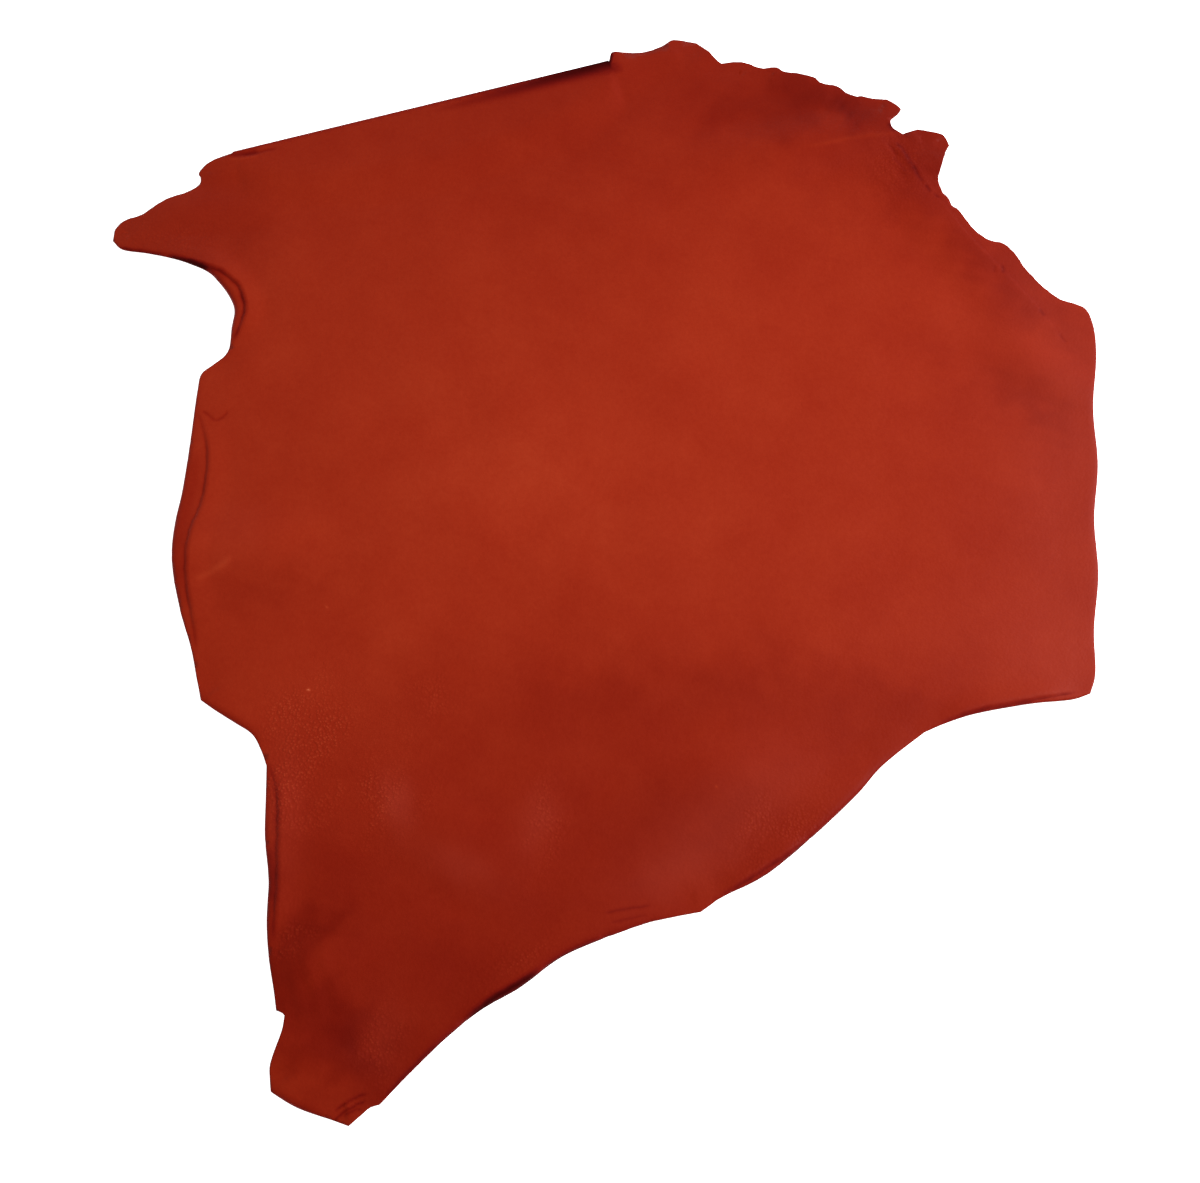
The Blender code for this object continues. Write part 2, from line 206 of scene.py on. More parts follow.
skin["steps"] = tuple(Step(*row, inMetres(marks)) for *row, marks in (
    ("far hind leg notch", 0.0016, 0.022, 0.46, 0.0021, (
        (-404, 262), (-390, 259), (-372.5, 253.5), (-364, 249.5), (-357.5, 245), (-350.5, 239),
        (-344, 231.5), (-340.5, 224), (-337.5, 215), (-336, 205), (-337.5, 194.5), (-339.5, 186.5),
        (-342, 176), (-344, 169),
    )),
    ("rump", 0.0015, 0.026, 0.17, 0.0022, (
        (-372, 100), (-363, 76), (-357, 50), (-356, 24), (-358, -1), (-365, -31), (-366, -56), (-363, -81),
        (-357, -105), (-351, -128), (-346, -152),
    )),
    ("near hind leg", 0.0014, 0.022, 0.27, 0.0024, (
        (-278.5, -244), (-273.5, -254.5), (-269.5, -265), (-267, -278), (-265, -303.5), (-264, -322.5),
        (-262, -351), (-262, -370.5), (-261.5, -387), (-260, -400),
    )),
    ("near flank", 0.0013, 0.02, 0.45, 0.0012, (
        (100, -359), (122, -347), (138, -337), (155, -326), (174, -314),
    )),
    ("near shoulder", 0.0015, 0.022, 0.5, 0.0012, (
        (290, -211), (324, -199), (354, -193), (380, -188), (414, -182),
    )),
    ("far foreleg", 0.001, 0.016, 0.42, 0.0024, (
        (322.5, 355), (317, 365.5), (314.5, 374), (310.5, 381.5), (307.5, 390), (304, 397.5), (298.5, 404),
    )),
    ("far shoulder", 0.0004, 0.018, 0.05, 0.0012, (
        (444, 168), (423, 207), (389, 255), (359, 297), (342, 330), (331, 350),
    )),
))

# Painted shade in the troughs and under lifted edges, painted highlights on the ridges, and a few scars.
skin["wrinkles"] = tuple(Wrinkle(*row, inMetres(marks)) for *row, marks in (
    ("crease over the corner", -0.00018, 0.0028, -0.08, (
        (205, 396), (223, 399), (254, 407), (284, 413), (307, 415),
    )),
    ("slump in the corner", 0.0002, 0.006, 0.08, ((243, 463), (250, 447), (259, 430), (262, 414))),
    ("over the rump", -0.0002, 0.0036, -0.1, ((-355.5, -77), (-346, -71), (-336.5, -65.5), (-324, -53.5))),
    ("vein by the rump, left", 0.0002, 0.0014, 0.15, ((-366, 96), (-358, 90), (-352, 84))),
    ("vein by the rump, right", 0.0002, 0.0014, 0.15, ((-352, 84), (-346, 89), (-341, 95))),
    ("lip of the rump", 0.0, 0.006, 0.1, (
        (-367, 60), (-366, 20), (-371.5, -30), (-371, -60), (-361, -100),
    )),
    ("near the flank, upper", 0.0002, 0.0012, 0.2, ((6, -374), (18, -371), (32, -369), (45, -367))),
    ("near the flank, lower", 0.0002, 0.0012, 0.12, ((10, -382), (26, -378), (42, -375))),
    ("leg end, outer", 0.0004, 0.0011, 0.32, ((-204, -536), (-196, -529), (-187, -524), (-178, -520))),
    ("leg end, inner", 0.0004, 0.0011, 0.3, ((-203, -528), (-195, -522), (-186, -517), (-178, -515))),
    ("leg end, middle", 0.0003, 0.001, 0.22, ((-196, -532), (-187, -527), (-180, -526))),
    ("end of the fold", 0.0004, 0.0036, 0.8, ((10, 503), (12.5, 509), (14.5, 518))),
    ("beside the fold's end", -0.0002, 0.0014, -0.22, ((15, 515.5), (20, 512), (29, 507))),
    ("tuck at the fold's start", 0.0005, 0.003, 0.3, (
        (-369, 386.5), (-364.5, 387), (-356.5, 387), (-346.5, 388.5), (-337, 391),
    )),
    ("tail of the tuck", 0.0003, 0.0017, 0.17, ((-356, 385.5), (-341, 388), (-331, 391), (-319, 394))),
    ("lip of the tuck", -0.0002, 0.0012, -0.09, ((-366, 381), (-356, 380.5), (-346, 382.5), (-336, 385))),
    ("far foreleg, upper", 0.0003, 0.0018, 0.1, ((290, 402), (296, 394), (299, 386))),
    ("far foreleg, middle", 0.0003, 0.0018, 0.12, ((294, 386), (301, 377), (306, 366))),
    ("far foreleg, lower", 0.0003, 0.0015, 0.24, ((324, 352.5), (326.5, 348), (328.5, 342.5))),
    ("far foreleg, foot", 0.0003, 0.0014, 0.2, ((331, 341), (334, 339), (337, 336.5))),
    ("tuck of the elbow notch", 0.0003, 0.0024, 0.42, ((293.5, 429), (295.5, 423), (300.5, 418))),
    ("mark on the shoulder, upper", 0.0002, 0.0016, 0.22, ((390, 256.5), (391, 251), (390, 245.5))),
    ("mark on the shoulder, left", 0.0002, 0.0018, 0.09, ((383, 256), (382, 251), (383, 246))),
    ("mark on the shoulder, middle", 0.0002, 0.0015, 0.2, ((420.5, 206.5), (423.5, 202.5), (426, 198))),
    ("mark on the shoulder, lower", 0.0002, 0.0014, 0.11, ((437, 179), (440, 174), (443, 169))),
    ("under the far hind leg", 0.0, 0.0019, 1.1, (
        (-416, 267.5), (-403.5, 264.5), (-393.5, 261.5), (-383.5, 257.5), (-373.5, 252),
    )),
    ("under the far hind leg, end", 0.0, 0.0013, 0.5, (
        (-464, 279), (-450, 275), (-435, 272.5), (-418, 268.5),
    )),
    ("under the shank", 0.0, 0.0011, 0.35, ((-166, -519), (-148, -499), (-128, -479), (-108, -462))),
    ("lip of the near hind leg", 0.0, 0.004, 0.18, ((-270, -318), (-266.5, -340), (-264.5, -365))),
    ("under the near flank", 0.0, 0.0019, 1.0, (
        (-103, -457.5), (-90, -447.5), (-78, -439), (-62, -430), (-46, -419),
    )),
    ("under the near flank, right", 0.0, 0.0012, 0.4, ((-44, -418), (-20, -403), (4, -393))),
    ("tick scar", -0.0002, 0.001, -0.5, ((-250, -179.5), (-245, -180.5))),
    ("pin scar, rump", -0.0001, 0.001, -0.18, ((-239.5, -100.5), (-235, -104.5))),
    ("pin scar, belly", -0.0001, 0.0009, -0.2, ((99, -265), (102, -269))),
    ("pin scar, shoulder", 0.0002, 0.001, 0.18, ((275, -75), (278, -77.5))),
))

skin["ripples"] = (
    Ripple("corner", (0.246, 0.438), 0.026, 140, 0.0115, 0.0003),
    Ripple("beside the foreleg", (0.3, 0.375), 0.03, 25, 0.012, 0.00032),
    Ripple("far hind leg", (-0.395, 0.285), 0.026, 80, 0.013, 0.00025),
    Ripple("near hind leg", (-0.24, -0.43), 0.036, 10, 0.014, 0.0003),
)

# Tone patches darken or lighten the colour. They are partly the dye's own unevenness and partly painted light
# and shade: the skin darker towards the near legs and the far edge, the slumps, and the shading of the hock's
# bumps.
skin["dyeAndShade"] = tuple(Patch(*row) for row in (
    ("legs and belly, near side", -0.13, -0.44, 0.3, 0.21, 20, -0.19),
    ("far edge", 0.08, 0.54, 0.48, 0.2, 0, -0.17),
    ("far corner", 0.33, 0.39, 0.11, 0.08, -40, -0.17),
    ("back", -0.04, 0.06, 0.24, 0.19, 10, 0.06),
    ("neck end", 0.48, 0.06, 0.13, 0.34, 0, -0.14),
    ("foreleg", 0.333, 0.386, 0.03, 0.04, 20, -0.1),
    ("near elbow and belly", 0.23, -0.25, 0.16, 0.07, 25, -0.08),
    ("far hind leg", -0.405, 0.306, 0.095, 0.062, 12, -0.13),
    ("slump in the corner", 0.205, 0.462, 0.055, 0.032, -15, -0.16),
    ("slump by the elbow", 0.255, 0.448, 0.05, 0.022, -25, -0.14),
    ("left of the slump", 0.15, 0.437, 0.05, 0.03, -20, -0.11),
    ("below the rump", -0.315, -0.09, 0.062, 0.022, 0, -0.07),
    ("left of the middle", -0.289, 0.152, 0.045, 0.045, 0, 0.02),
    ("hock, far", -0.223, -0.384, 0.022, 0.02, 40, -0.17),
    ("hock, outer", -0.248, -0.424, 0.024, 0.046, 5, -0.19),
    ("hock, inner", -0.197, -0.477, 0.022, 0.042, 25, -0.22),
    ("near hind leg", -0.215, -0.333, 0.045, 0.04, 0, -0.05),
    ("before the groin", -0.178, -0.114, 0.045, 0.045, 0, 0.045),
    ("lower middle", -0.006, -0.193, 0.077, 0.04, 0, -0.08),
    ("lower left", -0.15, -0.223, 0.052, 0.036, 0, -0.01),
    ("right of the lower middle", 0.123, -0.18, 0.077, 0.033, 0, -0.11),
    ("near elbow", 0.245, -0.2, 0.05, 0.036, 0, -0.07),
    ("belly middle", 0.04, -0.29, 0.055, 0.046, 0, -0.08),
    ("near belly", 0.11, -0.305, 0.06, 0.04, 20, -0.06),
    ("near flank, upper", -0.046, -0.369, 0.041, 0.018, 0, -0.03),
    ("near flank, lower", -0.101, -0.423, 0.04, 0.024, 0, -0.04),
    ("neck", 0.4, 0.106, 0.055, 0.02, -38, -0.1),
    ("far shoulder", 0.395, 0.245, 0.105, 0.024, -50, -0.14),
    ("upper middle", -0.026, 0.23, 0.058, 0.07, 0, -0.02),
    ("middle", 0.04, 0.119, 0.051, 0.039, 0, -0.02),
    ("right of the middle", 0.187, 0.071, 0.111, 0.059, 0, -0.01),
    ("upper right", 0.151, 0.336, 0.044, 0.034, 0, 0.03),
    ("upper left", -0.262, 0.321, 0.069, 0.058, 0, 0.03),
    ("left of the centre", -0.061, 0.019, 0.082, 0.062, 0, 0.05),
    ("above the centre", 0.136, 0.196, 0.057, 0.063, 0, 0.02),
    ("rump blister", -0.343, -0.048, 0.025, 0.016, 0, 0.04),
    ("beside the rump", -0.257, -0.036, 0.036, 0.026, 0, 0.03),
    ("groin", -0.255, -0.181, 0.036, 0.035, 0, 0.02),
    ("near flank, right", 0.203, -0.258, 0.035, 0.019, 0, 0.02),
    ("near shoulder", 0.39, -0.138, 0.037, 0.046, 0, 0.02),
    ("neck, middle", 0.386, 0.037, 0.037, 0.019, 0, 0.03),
    ("shoulder", 0.32, 0.23, 0.038, 0.039, 0, 0.02),
    ("leg end", -0.228, -0.503, 0.022, 0.018, 0, 0.1),
    ("hock, light", -0.21, -0.436, 0.014, 0.016, 0, 0.06),
    ("inner leg", -0.111, -0.374, 0.032, 0.021, 0, 0.03),
    ("shank", -0.155, -0.495, 0.035, 0.03, 0, -0.07),
))

# Painted sheen, a paler light on the neck end, the flanks, the shoulder, the legs and the rump, and the
# scuffs in the finish on the belly.
skin["sheenAndScuffs"] = tuple(Patch(*row) for row in (
    ("belly scuff, left", -0.1665, -0.2805, 0.013, 0.024, 15, 1.2),
    ("belly scuff, low", -0.11, -0.335, 0.036, 0.015, -25, 0.7),
    ("belly scuff, right", -0.0486, -0.296, 0.017, 0.028, -15, 0.9),
    ("near flank", 0.115, -0.285, 0.08, 0.034, 40, 0.9),
    ("near flank, low", 0.065, -0.34, 0.045, 0.02, 25, 0.8),
    ("neck end", 0.445, 0.03, 0.075, 0.26, 0, 1.0),
    ("near shoulder", 0.37, -0.14, 0.09, 0.05, 0, 0.5),
    ("far hind leg", -0.42, 0.3, 0.06, 0.04, 0, 0.2),
    ("rump", -0.325, -0.035, 0.034, 0.028, 0, 0.35),
    ("near hind leg", -0.262, -0.29, 0.02, 0.07, 0, 0.5),
    ("shank", -0.17, -0.47, 0.02, 0.03, 0, 0.4),
))

# Where the pebbled grain stands up enough to be seen, in its bumps and in a painted highlight on its tops.
skin["pebble"] = tuple(Patch(*row) for row in (
    ("near hind leg, upper", -0.24, -0.205, 0.035, 0.03, 0, 0.6),
    ("near hind leg", -0.253, -0.269, 0.024, 0.055, 0, 0.9),
    ("belly, left", -0.178, -0.28, 0.02, 0.036, 0, 0.8),
    ("belly, upper", -0.143, -0.193, 0.024, 0.018, 0, 0.5),
    ("belly, right", -0.045, -0.296, 0.016, 0.028, 0, 0.6),
    ("shank", -0.168, -0.478, 0.016, 0.024, 0, 0.7),
    ("hock", -0.246, -0.392, 0.014, 0.012, 0, 0.9),
    ("near flank edge", -0.062, -0.412, 0.03, 0.012, 30, 0.7),
    ("near belly", 0.15, -0.305, 0.05, 0.016, 38, 0.6),
    ("far hind leg", -0.41, 0.29, 0.045, 0.022, 0, 0.4),
    ("beside the foreleg", 0.296, 0.372, 0.034, 0.04, 0, 0.5),
))

foldStart, foldEnd = np.array(skin["foldStart"]), np.array(skin["foldEnd"])
foldLength = float(np.linalg.norm(foldEnd - foldStart))
foldAlong = (foldEnd - foldStart) / foldLength
foldOut = np.array([-foldAlong[1], foldAlong[0]])
facet = math.pi * skin["turnRadius"] / skin["turnSteps"]  # the length of one facet of the turn


# Points at even steps on the curve through the marks, without the last mark: a cubic between
# each two marks whose slopes come from their neighbours, weighed by the square roots of the gaps.
def smoothRun(marks, step):
    marks = np.asarray(marks, float)
    before, after = 2 * marks[0] - marks[1], 2 * marks[-1] - marks[-2]
    marks = np.vstack([before, marks, after])
    pieces = []
    for a, b, c, d in zip(marks, marks[1:], marks[2:], marks[3:]):
        ab, bc, cd = (math.sqrt(np.linalg.norm(q - p)) for p, q in ((a, b), (b, c), (c, d)))
        leaving = c - b + bc * ((b - a) / ab - (c - a) / (ab + bc))
        arriving = c - b + bc * ((d - c) / cd - (d - b) / (bc + cd))
        count = max(1, round(float(np.linalg.norm(c - b)) / step))
        t = (np.arange(count) / count)[:, None]
        pieces.append(
            (2 * t**3 - 3 * t**2 + 1) * b
            + (t**3 - 2 * t**2 + t) * leaving
            + (3 * t**2 - 2 * t**3) * c
            + (t**3 - t**2) * arriving
        )
    return np.vstack(pieces)


# 0 to 1 with level ends: 3s^2 - 2s^3.
def eased(share):
    share = np.clip(share, 0, 1)
    return share * share * (3 - 2 * share)


# A place on the skin before it is folded, from its place along and beyond the fold.
def flapPlace(along, beyond):
    return tuple(foldStart + foldAlong * along + foldOut * beyond)


# The unit vector that faces an angle.
def unit(angle):
    return np.array([math.cos(angle), math.sin(angle)])


# The unit normal to the left of a line at each of its points.
def leftOf(line, closed):
    if closed:
        run = np.roll(line, -1, axis=0) - np.roll(line, 1, axis=0)
    else:
        run = np.gradient(line, axis=0)
    left = np.stack([-run[:, 1], run[:, 0]], axis=1)
    return left / np.linalg.norm(left, axis=1)[:, None]


# The closed outline of the skin opened flat, with the lift and roll of the edge at each point:
# each swells as the square of a sine over its run. Three sines of the length wander the knife.
def cutEdge():
    flapMarks = [flapPlace(mark.along, mark.beyond) for mark in skin["flap"]]
    flap = Run("flap", 0.0, 0.0, 0.0, (tuple(foldEnd), *flapMarks))
    runs = skin["edge"] + (flap,)
    points, lifts, rolls, ragged = [], [], [], []
    for run, following in zip(runs, runs[1:] + runs[:1]):
        onRun = smoothRun(run.marks + following.marks[:1], skin["edgeStep"])
        share = np.arange(len(onRun)) / len(onRun)
        swell = np.sin(math.pi * share) ** 2
        points.append(onRun)
        lifts.append(run.lift * swell)
        rolls.append(run.roll * np.sqrt(swell))
        ragged.append(run.ragged * np.minimum(1, 4 * np.sqrt(swell)))
    outline, ragged = np.vstack(points), np.concatenate(ragged)
    number = np.arange(len(outline))
    wander = sum(size * np.sin(turn * number + start) for size, turn, start in skin["knifeWander"])
    outline = outline + leftOf(outline, True) * (ragged * wander)[:, None]
    return outline, np.concatenate(lifts), np.concatenate(rolls)


atOnce = 3000  # points that are worked on at a time, to spare memory


# For each point, its distance to a line, positive on the line's left, and how far along the line
# its nearest place lies.
def besideLine(points, line, closed):
    starts = line if closed else line[:-1]
    ends = np.roll(line, -1, axis=0) if closed else line[1:]
    legs = ends - starts
    lengths = np.linalg.norm(legs, axis=1)
    before = np.concatenate([[0], np.cumsum(lengths)[:-1]])
    apart, along = np.empty(len(points)), np.empty(len(points))
    for low in range(0, len(points), atOnce):
        some = points[low : low + atOnce]
        x, y = some[:, 0, None] - starts[None, :, 0], some[:, 1, None] - starts[None, :, 1]
        share = np.clip((x * legs[:, 0] + y * legs[:, 1]) / lengths**2, 0, 1)
        offX, offY = x - share * legs[:, 0], y - share * legs[:, 1]
        square = offX**2 + offY**2
        nearest = square.argmin(axis=1)
        row = np.arange(len(some))
        side = legs[nearest, 0] * offY[row, nearest] - legs[nearest, 1] * offX[row, nearest]
        apart[low : low + atOnce] = np.sqrt(square[row, nearest]) * np.where(side < 0, -1, 1)
        along[low : low + atOnce] = before[nearest] + share[row, nearest] * lengths[nearest]
    return apart, along / lengths.sum()


# Which points the outline goes round, by counting its crossings of a line to +X.
def inside(points, outline):
    (x0, y0), (x1, y1) = outline.T, np.roll(outline, -1, axis=0).T
    rise = np.where(y1 == y0, 1.0, y1 - y0)
    found = []
    for some in np.array_split(points, max(1, len(points) // atOnce)):
        x, y = some[:, 0, None], some[:, 1, None]
        spans = (y0 > y) != (y1 > y)
        found.append((spans & (x < x0 + (y - y0) / rise * (x1 - x0))).sum(axis=1) % 2 == 1)
    return np.concatenate(found)


# Which points lie within a reach of the box round a line.
def nearLine(points, line, reach):
    return ((points > line.min(axis=0) - reach) & (points < line.max(axis=0) + reach)).all(axis=1)


# A bell: 1 in the middle, and 1/e at one width from it.
def bell(apart, width):
    return np.exp(-((apart / width) ** 2))


# Every crease as a line of close points, the steps and the wrinkles, wandering by two sines.
def creaseLines():
    lines = {}
    for crease in skin["steps"] + skin["wrinkles"]:
        onLine = smoothRun(crease.marks, skin["edgeStep"])
        line = np.vstack([onLine, crease.marks[-1]])
        number = np.arange(len(line))
        wander = np.sin(1.7 * number + line[0, 0] * 90) + np.sin(0.83 * number + 1.3)
        fixed = np.sin(math.pi * number / (len(line) - 1))
        lines[crease] = line + leftOf(line, False) * (skin["creaseWander"] * wander * fixed)[:, None]
    return lines


# Rows of points that follow the cut edge inside it, and miss its tight corners.
def rimRows(outline):
    left = leftOf(outline, True)
    rows = []
    for depth in skin["rimDepths"]:
        row = outline + left * depth
        apart, _ = besideLine(row, outline, True)
        rows.append(row[(np.abs(apart) > skin["rimClearance"] * depth) & inside(row, outline)])
    return np.vstack(rows)


# Rows of points along each crease and beside it.
def creaseRows(lines, outline):
    rows = []
    for line in lines.values():
        left = leftOf(line, False)
        for offset in skin["creaseRows"]:
            rows.append(line + left * offset)
            if offset:
                rows.append(line - left * offset)
    rows = np.vstack(rows)
    apart, _ = besideLine(rows, outline, True)
    return rows[(np.abs(apart) > skin["creaseFromEdge"] * skin["rimDepths"][0]) & inside(rows, outline)]


# Keeps each point that is the first of its small square, so that none lie on top of each other.
def thinned(points, apart):
    cells = np.floor(points / apart).astype(np.int64)
    _, first = np.unique(cells, axis=0, return_index=True)
    return points[np.sort(first)]


# Rows along the fold where its facets meet, from the upper layer to the flap.
def turnRows():
    count = round(foldLength / skin["edgeStep"])
    places = np.linspace(0, foldLength, count + 1)[:, None] * foldAlong
    return [foldStart + places + foldOut * facet * number for number in range(skin["turnSteps"] + 1)]


# How far along the fold and beyond it each point of the flat skin lies.
def foldPlace(flat):
    offset = flat - foldStart
    return offset @ foldAlong, offset @ foldOut


# The nearest of the crease lines to each point.
def nearestCrease(points, lines):
    least = np.full(len(points), 1.0)
    for line in lines.values():
        near = nearLine(points, line, skin["creaseSearch"])
        if near.any():
            apart, _ = besideLine(points[near], line, False)
            least[near] = np.minimum(least[near], np.abs(apart))
    return least


# The whole skin opened flat, as corners and triangles: the outline, the fold's rows, the rim
# rows, the crease rows and a lattice of even triangles, joined by Delaunay's rule.
def flatSkin(outline, lines):
    turn = turnRows()
    atCrease = thinned(creaseRows(lines, outline), skin["creaseThin"])
    rims = rimRows(outline)
    rims = rims[nearestCrease(rims, lines) > skin["creaseRows"][-1] + skin["creaseClearance"]]

    low, high = outline.min(axis=0), outline.max(axis=0)
    step = skin["latticeStep"]
    x, y = np.meshgrid(np.arange(low[0], high[0], step), np.arange(low[1], high[1], step * math.sqrt(3) / 2))
    x[1::2] += step / 2
    lattice = np.stack([x.ravel(), y.ravel()], axis=1)
    lattice = lattice[inside(lattice, outline)]
    clear = skin["latticeClearance"] * step
    apart, _ = besideLine(lattice, outline, True)
    lattice = lattice[np.abs(apart) > skin["rimDepths"][-1] + clear]
    lattice = lattice[nearestCrease(lattice, lines) > skin["creaseRows"][-1] + clear]

    free = np.vstack([atCrease, rims, lattice])
    _, beyond = foldPlace(free)
    clear = skin["turnClearance"]
    free = free[(beyond < -clear) | (beyond > facet * skin["turnSteps"] + clear)]
    corners = np.vstack([outline, *turn, free])
    count = len(outline)
    edges = [(i, (i + 1) % count) for i in range(count)]
    start = count
    for row in turn:
        edges += [(i, i + 1) for i in range(start, start + len(row) - 1)]
        start += len(row)
    enclosed = 1  # the kind of result that keeps only what the edges enclose
    places, around = [Vector(place) for place in corners.tolist()], [list(range(count))]
    result = delaunay_2d_cdt(places, edges, around, enclosed, skin["merge"], True)
    flat, faces = np.array([tuple(place) for place in result[0]]), np.array(result[2])
    sources = np.array([min(given, default=0) for given in result[3]])
    doubtful = (sources < start)[faces].all(axis=1)  # only these can lie outside the outline
    kept = np.ones(len(faces), bool)
    kept[doubtful] = inside(flat[faces[doubtful]].mean(axis=1), outline)
    faces = faces[kept]
    used, index = np.unique(faces, return_inverse=True)
    return flat[used], index.reshape(-1, 3)


# 1 where the upper layer lies over the flap, eased down to 0 where it lies on the floor.
def tent(flat):
    along, beyond = foldPlace(flat)
    table = sorted([(0.0, 0.0), *skin["flap"], (foldLength, 0.0)])
    depth = np.interp(along, [row[0] for row in table], [row[1] for row in table])
    pastFlap = np.maximum(0, -beyond - depth)
    pastEnd = np.maximum(0, np.maximum(-along, along - foldLength))
    return eased(1 - np.hypot(pastFlap, pastEnd) / skin["tentReach"])


# The sum of the ridges at each point. Each falls off its crest as (1 - q^2)^2, and its crest
# rises and falls from end to end as the square of a sine.
def ridgeRise(flat):
    rise = np.zeros(len(flat))
    for ridge in skin["ridges"]:
        start, end = np.array(ridge.start), np.array(ridge.end)
        crest = end - start
        share = np.clip((flat - start) @ crest / (crest @ crest), 0, 1)
        offCrest = np.linalg.norm(flat - start - share[:, None] * crest, axis=1)
        across = np.clip(1 - (offCrest / ridge.halfWidth) ** 2, 0, 1) ** 2
        rise += ridge.rise * np.sin(math.pi * share) ** 2 * across
    return rise


# The edge's lift, easing away inwards, and its roll, which climbs as 1 - e^-d just inside the
# edge and then eases away.
def edgeRise(apart, along, lifts, rolls):
    place = along * len(lifts)
    number = np.arange(len(lifts) + 1)
    lift = np.interp(place, number, np.append(lifts, lifts[0]))
    roll = np.interp(place, number, np.append(rolls, rolls[0]))
    climbed = 1 - np.exp(-apart / skin["rollRise"])
    return lift * eased(1 - apart / skin["liftReach"]) + roll * climbed * eased(1 - apart / skin["rollReach"])


# The steps' height, which climbs over stepWidth on the line's left and eases away over its fade,
# and the painted shade at the foot of each, a bell across the line. Both die out at the line's ends.
def stepRise(flat, lines):
    rise, dark = np.zeros(len(flat)), np.zeros(len(flat))
    risen, darkened = skin["stepEnds"]
    (least, more), (mean, swing, first, second) = skin["stepTaper"], skin["stepUneven"]
    for step in skin["steps"]:
        line = lines[step]
        near = nearLine(flat, line, step.fade + 0.004)
        apart, along = besideLine(flat[near], line, False)
        ends = eased(along / risen) * eased((1 - along) / risen)
        up = eased(apart / skin["stepWidth"]) * eased(1 - apart / step.fade)
        rise[near] = np.maximum(rise[near], step.rise * ends * np.where(apart > 0, up, 0))
        halfWidth = step.halfWidth * (least + more * np.sin(math.pi * along))
        soft = eased(along / darkened) * eased((1 - along) / darkened)
        uneven = mean + swing * np.sin(along * first + 1) * np.sin(along * second)
        foot = step.dark * soft * uneven * bell(apart - skin["stepFoot"], halfWidth)
        dark[near] = np.maximum(dark[near], foot)
    return rise, dark


# The wrinkles' depth in the grain and their painted shade or highlight, or a scar's own mark: a bell across
# each line, gone at its ends.
def wrinkleDepth(flat, lines):
    depth, shade = np.zeros(len(flat)), np.zeros(len(flat))
    over, had = skin["wrinkleEnds"]
    for wrinkle in skin["wrinkles"]:
        line = lines[wrinkle]
        near = nearLine(flat, line, 3 * wrinkle.halfWidth)
        if not near.any():
            continue
        apart, along = besideLine(flat[near], line, False)
        ends = eased(along / over + had) * eased((1 - along) / over + had)
        share = bell(apart, wrinkle.halfWidth) * ends
        depth[near] += wrinkle.depth * share
        shade[near] += wrinkle.shade * share
    return depth, shade


# The painted shade of the band beside the fold, a bell off its middle, and of the upper part of the turn.
def foldDark(flat):
    along, beyond = foldPlace(flat)
    table = np.array(skin["foldShade"])
    middle, width, dark = (np.interp(along, table[:, 0], table[:, i]) for i in (1, 2, 3))
    (before, over), (after, out) = skin["turnShadePast"]
    ends = eased((along + before) / over) * eased((foldLength + after - along) / out)
    onBand = dark * bell(beyond + middle, width)
    (start, growing), (end, fading) = skin["turnShadeStart"], skin["turnShadeEnd"]
    onTurn = np.interp(along, *skin["turnShade"]) * eased((beyond + start) / growing)
    return ends * np.maximum(onBand, onTurn) * eased((end - beyond) / fading)


# Ripples in the grain: a cosine across each patch under a bell.
def rippleHeight(flat):
    height = np.zeros(len(flat))
    for ripple in skin["ripples"]:
        offset = flat - np.array(ripple.place)
        facing = math.radians(ripple.facing)
        across, along = offset @ unit(facing), offset @ unit(facing + math.pi / 2)
        bent = across + 0.10 * ripple.reach * np.sin(along / ripple.reach * 2.2)
        share = np.exp(-(offset**2).sum(axis=1) / ripple.reach**2)
        height += ripple.height * np.cos(2 * math.pi * bent / ripple.spacing) * share
    return height


# The sum of soft patches, each a bell over its own ellipse, their outlines drawn out of true by
# seeded cosines that shift each place a little.
def patchSum(flat, patches, warps):
    draw = np.random.default_rng(skin["warpSeed"])
    shifted = flat.copy()
    for size, shift in warps:
        for axis in (0, 1):
            for _ in range(3):
                facing, phase = draw.uniform(0, 2 * math.pi, 2)
                wave = flat @ unit(facing) * 2 * math.pi / size + phase
                shifted[:, axis] += shift * np.cos(wave)
    total = np.zeros(len(flat))
    for patch in patches:
        offset = shifted - np.array([patch.x, patch.y])
        turn = math.radians(patch.turn)
        u = offset @ unit(turn) / patch.alongX
        v = offset @ unit(turn + math.pi / 2) / patch.alongY
        total += patch.amount * np.exp(-(u**2 + v**2))
    return total


# Slow swells of the whole skin, between 0 and swellHeight: seeded cosines of several lengths.
def swell(flat):
    draw = np.random.default_rng(skin["swellSeed"])
    total = np.zeros(len(flat))
    for size in skin["swellSizes"]:
        for _ in range(3):
            facing, phase = draw.uniform(0, 2 * math.pi, 2)
            total += size * np.cos(flat @ unit(facing) * 2 * math.pi / size + phase)
    total = (total - total.min()) / (total.max() - total.min())
    return skin["swellHeight"] * total


# The flesh side as it lies: its height over the floor, and its place round the fold's half turn.
def laid(flat, height):
    radius, leather = skin["turnRadius"], skin["leather"]
    share = tent(flat)
    points = np.column_stack([flat, share * (leather + 2 * radius) + (1 - share) * height])
    along, beyond = foldPlace(flat)
    turned = (beyond > skin["merge"]) & (along > 0) & (along < foldLength)
    halfTurn = math.pi * radius
    angle = np.clip(beyond, 0, halfTurn) / radius
    reach = radius * np.sin(angle) - np.maximum(0, beyond - halfTurn)
    under = leather + radius * (1 + np.cos(angle))
    foot = foldStart + along[:, None] * foldAlong
    folded = np.column_stack([foot + reach[:, None] * foldOut, under])
    points[turned] = folded[turned]
    return points, turned


